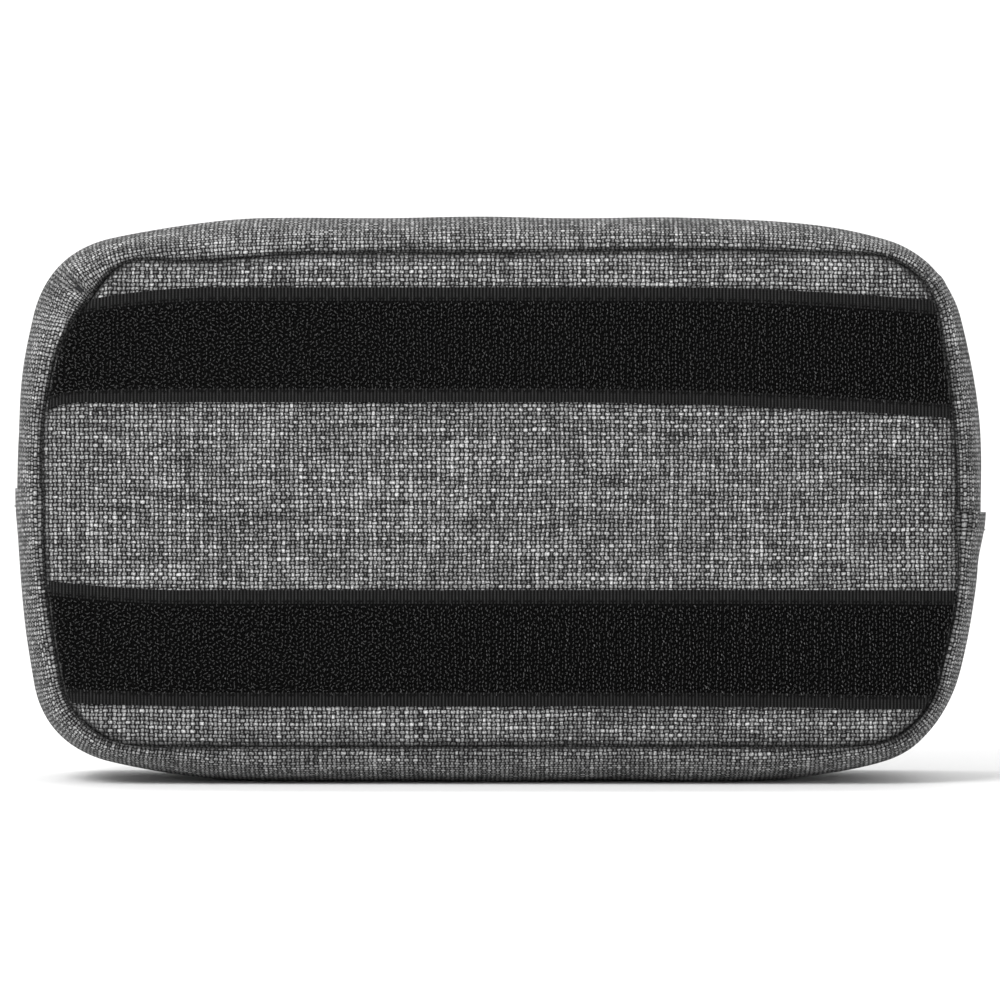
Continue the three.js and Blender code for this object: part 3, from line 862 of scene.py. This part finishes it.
def stripFlat(strip, part, v):
    # points of a strip: part runs from its left seam to its right seam, v from its low to its top edge
    order = np.argsort(seamRing[:, 1])
    left = order[seamRing[order, 0] < 0]
    right = order[seamRing[order, 0] > 0]
    ends = []
    for side, guess in ((left, -95.0), (right, 95.0)):
        x = np.full(v.shape, guess)
        for _ in range(6):
            z = stripEdge(strip["low"], x) * (1 - v) + stripEdge(strip["top"], x) * v
            x = np.interp(z, seamRing[side, 1], seamRing[side, 0])
        ends.append(x)
    x = ends[0] + (ends[1] - ends[0]) * part
    return np.stack([x, stripEdge(strip["low"], x) * (1 - v) + stripEdge(strip["top"], x) * v], -1)


def tapeY(flat):
    # the tape lies on the panel, and stands a little clearer of it where both turn in at the seam
    clearer = tape["endLift"] * bell(insideBy(flat, seamRing), tape["endReach"])
    return faceY("back", flat) - tape["lift"] - clearer


def stripParts(name):
    strip = strips[name]
    part, v = np.meshgrid(np.linspace(0, 1, 170), np.linspace(0, 1, 26), indexing="ij")
    flat = stripFlat(strip, part, v)
    grid = standing(flat, tapeY(flat))
    cloth = np.stack([flat[..., 0], (v - 0.5) * tape["width"], np.zeros(v.shape)], -1)
    ground = shellPart(grid, tape["thickness"], hookGround, cloth)
    rows = slice(3, 23)
    field = shellPart(grid[:, rows] - (0, 0.06, 0), 0.2, hookField, cloth[:, rows])
    parts = [ground]
    inset = tape["selvedge"] / tape["width"]
    for edge in (inset, 1 - inset):
        flat = stripFlat(strip, part[:, 0], np.full(len(part), edge))
        run = standing(flat, tapeY(flat))
        parts.append(stitchPart(run, (0.0, -1.0, 0.0), tape["stitch"], sewingThread))
    return parts, field


def hookParts(name, seed):
    # each hook is one cut filament loop: a short stem and a curl, in rows across the tape
    draw = np.random.default_rng(seed)
    field = tape["width"] - 2 * tape["selvedge"] - 0.8
    rows = int(field / tape["rowPitch"])
    columns = int(200 / tape["columnPitch"])
    column, row = (k.ravel() for k in np.meshgrid(np.arange(columns), np.arange(rows), indexing="ij"))
    v = tape["selvedge"] + 0.4 + (row + 0.25 + 0.5 * (column % 2)) * tape["rowPitch"]
    v /= tape["width"]
    x = (column - columns / 2) * tape["columnPitch"]
    ends = [stripFlat(strips[name], end, v)[:, 0] for end in (0.0, 1.0)]
    kept = (x > ends[0] + 0.5) & (x < ends[1] - 0.5)
    column, v, x = column[kept], v[kept], x[kept]
    z = stripEdge(strips[name]["low"], x) * (1 - v) + stripEdge(strips[name]["top"], x) * v
    flat = np.stack([x, z], -1) + draw.normal(0, tape["spread"], (len(x), 2))
    count = len(flat)
    turn = np.radians([170, 70, -30])
    reach = np.concatenate([[0, 0], tape["curl"] * (1 + np.cos(turn))])
    curl = tape["curlMiddle"] + tape["curlHeight"] * np.sin(turn)
    high = np.concatenate([[0, tape["stem"]], curl])
    side = np.where(column % 4 < 2, 1, -1) * math.pi / 2
    # the hooks lie in less order towards the end at negative x
    loose = 0.22 + 0.85 * smooth((20 - flat[:, 0]) / 90)
    way = side + draw.normal(0, 1, count) * loose
    direction = np.stack([np.cos(way), np.zeros(count), np.sin(way)], -1)
    lean = draw.normal(0, tape["lean"], (count, 2))
    base = standing(flat, tapeY(flat) + 0.1)
    size = (draw.uniform(0.85, 1.08, count) * np.where(column % 2, 0.72, 1))[:, None, None]
    up = np.stack([lean[:, 0], -np.ones(count), lean[:, 1]], -1)
    paths = base[:, None] + size * (reach[:, None] * direction[:, None] + high[:, None] * up[:, None])
    return [filamentPart(paths, np.cross(direction, up), tape["filament"], 3, hookNylon)]


for name, seed in (("upper", 41), ("lower", 42)):
    parts, field = stripParts(name)
    built[name + "Strip"] = buildPiece(f"hook_strip_{name}_tape", parts)
    built[name + "Hooks"] = buildPiece(f"hook_strip_{name}_hooks", [field] + hookParts(name, seed))
print("hook tape ready")


zipper = {
    "sunk": 1.0, "tapeThickness": 0.5, "chainY": 21.0, "teethPitch": 1.3, "wire": 0.3,
    "underGusset": 2.2, "fromChain": 0.4,  # mm of tape under the gusset's edge, and short of the chain
    # a loop of the coil: how far it reaches back, its nose, its middle height and half its height
    "reach": 1.9, "noseFrom": 0.35, "nose": 0.75, "middle": 0.5, "halfHigh": 0.45,
}


def tapePart(run, low, high):
    shape = profileBetween(low, high, 8)
    return gussetPart(run, shape, zipper["tapeThickness"], zipWeave, -zipper["sunk"])


def coilPart(side):
    # one half of the coil: a wire loop for every tooth, its nose past the middle of the chain
    lane = profileBetween(zipper["chainY"] - 3, zipper["chainY"] + 3, 13)
    grid, normals, cloth, _ = gussetAt(flapRun, lane, -zipper["sunk"])
    along = cloth[:, 0, 0] - cloth[0, 0, 0]
    count = int(along[-1] / zipper["teethPitch"])
    at = (np.arange(count) + (0.25 if side > 0 else 0.75)) * zipper["teethPitch"]
    turn = np.linspace(0, math.pi, 7)
    # y of the loop from its nose at zero back towards its own tape, and its height over the tape
    nose = zipper["noseFrom"] - zipper["nose"] * np.sin(turn)
    inY = np.concatenate([[zipper["reach"]], nose, [zipper["reach"]]])
    high = zipper["middle"] + zipper["halfHigh"] * np.concatenate([[1], np.cos(turn), [-1]])
    slant = np.linspace(-0.3, 0.3, 9) * zipper["teethPitch"]
    middle = grid[:, 6]
    place = pointsAt(at[:, None] + slant, along, middle)
    up = unit(pointsAt(at, along, normals[:, 6]))
    tangent = unit(place[:, -1] - place[:, 0])
    inward = np.cross(up, tangent)
    inward *= np.sign(inward[:, 1:2]) * side
    paths = place + inY[:, None] * inward[:, None] + high[:, None] * up[:, None]
    return filamentPart(paths, np.cross(inward, up), zipper["wire"], 6, coilNylon)


under, gap = zipper["underGusset"], zipper["fromChain"]
halves = {
    "back": (upperRun[4:-4], zipLane[0] - under, zipper["chainY"] - gap, -1),
    "front": (flapRun, zipper["chainY"] + gap, zipLane[1] + under, 1),
}
for name, (run, low, high, side) in halves.items():
    built[name + "Tape"] = buildPiece(f"zipper_tape_{name}_cloth", [tapePart(run, low, high)])
    built[name + "Coil"] = buildPiece(f"zipper_coil_{name}_teeth", [coilPart(side)])
print("zip ready")


binding = {"inset": 9.6, "halfDepth": 1.5, "halfHigh": 2.3, "thickness": 0.45,
           "stitch": {"pitch": 3.2, "length": 2.5, "radius": 0.16}}
bindingY = {"back": -22.5, "front": 24.3}
elastic = {"count": 4, "pitch": 34, "halfWidth": 12.5, "rise": 8.2, "bow": 0.35, "tail": 3.5,
           "low": 49.3, "high": 73.7, "thickness": 0.9, "y": -22.7}
pocket = {"halfWidth": 70, "low": 67.5, "high": 101, "y": 25.3, "cell": 1.7, "hole": 0.6, "thickness": 0.35,
          "sag": 1.6, "sagHeight": 40, "wave": 0.25, "waveLength": 30}
hem = {"top": 105.8, "overlap": 1.2, "halfDepth": 0.65, "thickness": 0.35, "gather": 0.12, "gathers": 2.1,
       "sag": 1.68}
tackStitch = {"pitch": 1.1, "length": 0.9, "radius": 0.17}


def rolled(turn, power):
    # a flattened round section
    return [np.sign(wave) * np.abs(wave) ** power for wave in (np.cos(turn), np.sin(turn))]


def bindingParts(y):
    # tape folded round the raw edges all the way round the panel, open towards the seam
    ring = crestRing - crestWays * binding["inset"]
    outward, deep = rolled(np.linspace(0.3, 2 * math.pi - 0.3, 15), 0.7)
    wave = 0.12 * ripple(np.concatenate([ring, ring[:, :1] * 0], -1), 9, 31)[:, None]
    flat = ring[:, None] + crestWays[:, None] * (binding["halfHigh"] * outward)[:, None]
    grid = standing(flat, y + binding["halfDepth"] * deep + wave)
    cloth = np.stack(np.meshgrid(ringLength, np.linspace(0, 11, 15), indexing="ij") + [0 * grid[..., 0]], -1)
    band = shellPart(grid, binding["thickness"], grosgrain, cloth, wrap=True, away=(0, y, centreZ))
    side = -np.sign(y)
    run = standing(ring, y + side * binding["halfDepth"] + wave[:, 0])
    return [band, stitchPart(run, (0.0, side, 0.0), binding["stitch"], sewingThread)]


def elasticParts():
    # one band sewn down between the loops, each loop standing clear of the lining
    pitch, y = elastic["pitch"], elastic["y"]
    half = pitch * elastic["count"] / 2
    x = np.linspace(-half - elastic["tail"], half + elastic["tail"], 230)
    nearest = (np.floor(x / pitch) + 0.5) * pitch
    reach = np.clip(np.abs(x - nearest) / elastic["halfWidth"], 0, 1)
    arch = np.where(np.abs(nearest) < half, (1 - reach ** 2.4) ** 0.85, 0)
    rise = elastic["rise"] * arch
    z = np.linspace(elastic["low"], elastic["high"], 16)
    gridX, gridZ = np.meshgrid(x, z, indexing="ij")
    bow = elastic["bow"] * arch[:, None] * (1 - np.linspace(-1, 1, 16) ** 2)
    grid = np.stack([gridX, y + rise[:, None] + bow, gridZ], -1)
    length = lengthAlong(np.stack([x, rise], -1))
    cloth = np.stack([gridZ, np.broadcast_to(length[:, None], gridX.shape), 0 * gridX], -1)
    parts = [shellPart(grid, elastic["thickness"], ribbedElastic, cloth, away=(0, -200, centreZ))]
    for k in range(elastic["count"] + 1):
        for shift in (-1.1, 1.1):
            high = np.linspace(z[0] + 1, z[-1] - 1, 20)
            run = np.stack([0 * high + k * pitch - half + shift, 0 * high + y, high], -1)
            parts.append(stitchPart(run, (0.0, 1.0, 0.0), tackStitch, sewingThread))
    return parts


def netPart():
    # knitted net: a square hole in every cell
    half, low, top = (pocket[name] for name in ("halfWidth", "low", "high"))
    across, down = round(2 * half / pocket["cell"]), round((top - low) / pocket["cell"])
    x, z = np.meshgrid(np.linspace(-half, half, across + 1), np.linspace(low, top, down + 1), indexing="ij")
    bulge = np.sin(np.clip((z - low) / pocket["sagHeight"], 0, 1) * math.pi / 2)
    bulge *= 1 - (x / half) ** 4
    wave = pocket["wave"] * ripple(np.stack([x, 0 * x, z], -1), pocket["waveLength"], 51)
    grid = np.stack([x, pocket["y"] - (pocket["sag"] + wave) * bulge, z], -1)
    count = grid.shape[0] * grid.shape[1]
    a = (np.arange(across)[:, None] * (down + 1) + np.arange(down)).ravel()
    corners = np.stack([a, a + down + 1, a + down + 2, a + 1], -1)
    flat = grid.reshape(-1, 3)
    middles = flat[corners].mean(1, keepdims=True)
    inner = (middles + pocket["hole"] * (flat[corners] - middles)).reshape(-1, 3)
    front = np.concatenate([flat, inner])
    total = len(front)
    points = np.concatenate([front, front + [0, pocket["thickness"], 0]])
    found = []
    cells = np.arange(len(a))
    for k in range(4):
        m = (k + 1) % 4
        i0, i1 = count + cells * 4 + k, count + cells * 4 + m
        found.append(np.stack([corners[:, k], corners[:, m], i1, i0], -1))
        found.append(np.stack([i0, i1, corners[:, m], corners[:, k]], -1) + [total] * 4)
        found.append(np.stack([i0, i1, i1 + total, i0 + total], -1))
    index = np.arange(count).reshape(grid.shape[:2])
    for edge in (index[0], index[-1], index[:, 0], index[:, -1]):
        found.append(np.stack([edge[:-1], edge[1:], edge[1:] + total, edge[:-1] + total], -1))
    return {"points": points, "faces": np.concatenate(found).tolist(), "cloth": points, "material": netYarn}


def hemPart():
    # the pocket's elastic hem, folded over the net's top edge
    x = np.linspace(-pocket["halfWidth"], pocket["halfWidth"], 90)[:, None]
    bow = hem["sag"] * (1 - (x / pocket["halfWidth"]) ** 4)
    turn = np.linspace(-math.pi + 0.2, math.pi - 0.2, 17)
    high, deep = rolled(turn, 0.6)
    middle = (pocket["high"] - hem["overlap"] + hem["top"]) / 2
    z = middle + (hem["top"] - middle) * high
    y = pocket["y"] - 0.15
    depth = y - bow + hem["halfDepth"] * deep + hem["gather"] * np.sin(x * hem["gathers"]) * np.cos(turn)
    grid = np.stack([x + 0 * turn, depth, z + 0 * x], -1)
    cloth = np.stack([x + 0 * turn, np.linspace(0, 14, 17) + 0 * x, 0 * depth], -1)
    return shellPart(grid, hem["thickness"], grosgrain, cloth, away=(0, y, middle))


for side, y in bindingY.items():
    built[side + "Binding"] = buildPiece(side + "_seam_binding_tape", bindingParts(y))
built["elastic"] = buildPiece("elastic_loop_band_woven", elasticParts())
built["net"] = buildPiece("mesh_pocket_net", [netPart()])
built["hem"] = buildPiece("mesh_pocket_hem_tape", [hemPart()])
print("bindings, elastic and pocket ready")


for name in ("zipper_slider_left", "zipper_slider_right", "pull_tab_left", "pull_tab_right"):
    node = bpy.data.objects[name]
    node.data.materials.clear()
    node.data.materials.append(gunmetal)
    rounding = node.modifiers.new("edges", "BEVEL")
    rounding.width = 0.18 * mm
    rounding.segments = 3
    rounding.limit_method = "ANGLE"


def cut(width, length, held, area=None):
    # a sheet's flat size in metres, and its area in square metres where it isn't a rectangle
    return {"flat": (width, length), "held": held} | ({"area": area} if area else {})


panelCut = cut(0.108, 0.200, "stretched", 0.0204)  # round corners
stripCut = cut(0.025, 0.190, "laid")
bindingCut = cut(0.0135, 0.525, "folded")
front = "front_panel_{}_outer", "front_panel_{}_foam", "front_panel_{}_lining"
frontOuter, frontFoam, frontLining = ([name.format(half) for half in ("lower", "upper")] for name in front)
frontBinding = ["front_seam_binding_lower", "front_seam_binding_upper"]
table = {
    # built piece: nodes, slot, moves with, and the sheet's flat size, or how full the padding is
    "backCloth": (["back_panel_outer"], "heather_cloth", "back", panelCut),
    "backFoam": (["back_panel_foam"], "foam_sheet", "back", 1.0),
    "backLining": (["back_panel_lining"], "lining_cloth", "back", panelCut),
    "frontCloth": (frontOuter, "heather_cloth", "fold", panelCut),
    "frontFoam": (frontFoam, "foam_sheet", "fold", 1.0),
    "frontLining": (frontLining, "lining_cloth", "fold", panelCut),
    "lowerGusset": (["lower_gusset_outer"], "heather_cloth", "back", cut(0.064, 0.306, "stretched", 0.0178)),
    "upperGusset": (["upper_gusset_outer"], "heather_cloth", "back", cut(0.048, 0.306, "stretched", 0.0139)),
    "flapStrip": (["front_gusset_strip"], "heather_cloth", "fold", cut(0.010, 0.290, "stretched", 0.0015)),
    "lowerLining": (["lower_gusset_lining"], "lining_cloth", "back", cut(0.054, 0.292, "stretched")),
    "upperLining": (["upper_gusset_lining"], "lining_cloth", "back", cut(0.044, 0.292, "stretched")),
    "upperStrip": (["hook_strip_upper"], "hook_tape", "back", stripCut),
    "upperHooks": ([], "hook_tape", "back", None),
    "lowerStrip": (["hook_strip_lower"], "hook_tape", "back", stripCut),
    "lowerHooks": ([], "hook_tape", "back", None),
    "backTape": (["zipper_tape_back"], "zip_tape", "back", cut(0.010, 0.300, "stretched", 0.0022)),
    "frontTape": (["zipper_tape_front"], "zip_tape", "fold", cut(0.010, 0.300, "stretched", 0.0027)),
    "backCoil": (["zipper_coil_back"], "zip_coil", "back", None),
    "frontCoil": (["zipper_coil_front"], "zip_coil", "fold", None),
    "backBinding": (["back_seam_binding"], "binding_tape", "back", bindingCut),
    "frontBinding": (frontBinding, "binding_tape", "fold", bindingCut),
    "elastic": (["elastic_loop_band"], "elastic", "back", cut(0.0245, 0.184, "folded")),
    "net": (["mesh_pocket"], "pocket_mesh", "fold", cut(0.034, 0.140, "stretched")),
    "hem": (["mesh_pocket_hem"], "binding_tape", "fold", cut(0.0125, 0.140, "folded")),
}
for key, (nodes, slotName, moves, soft) in table.items():
    piece = built[key]
    if nodes:
        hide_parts(*nodes)
    if moves == "back":
        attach(piece, "back_body")
    else:
        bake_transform(piece)
print(len(table), "pieces placed")
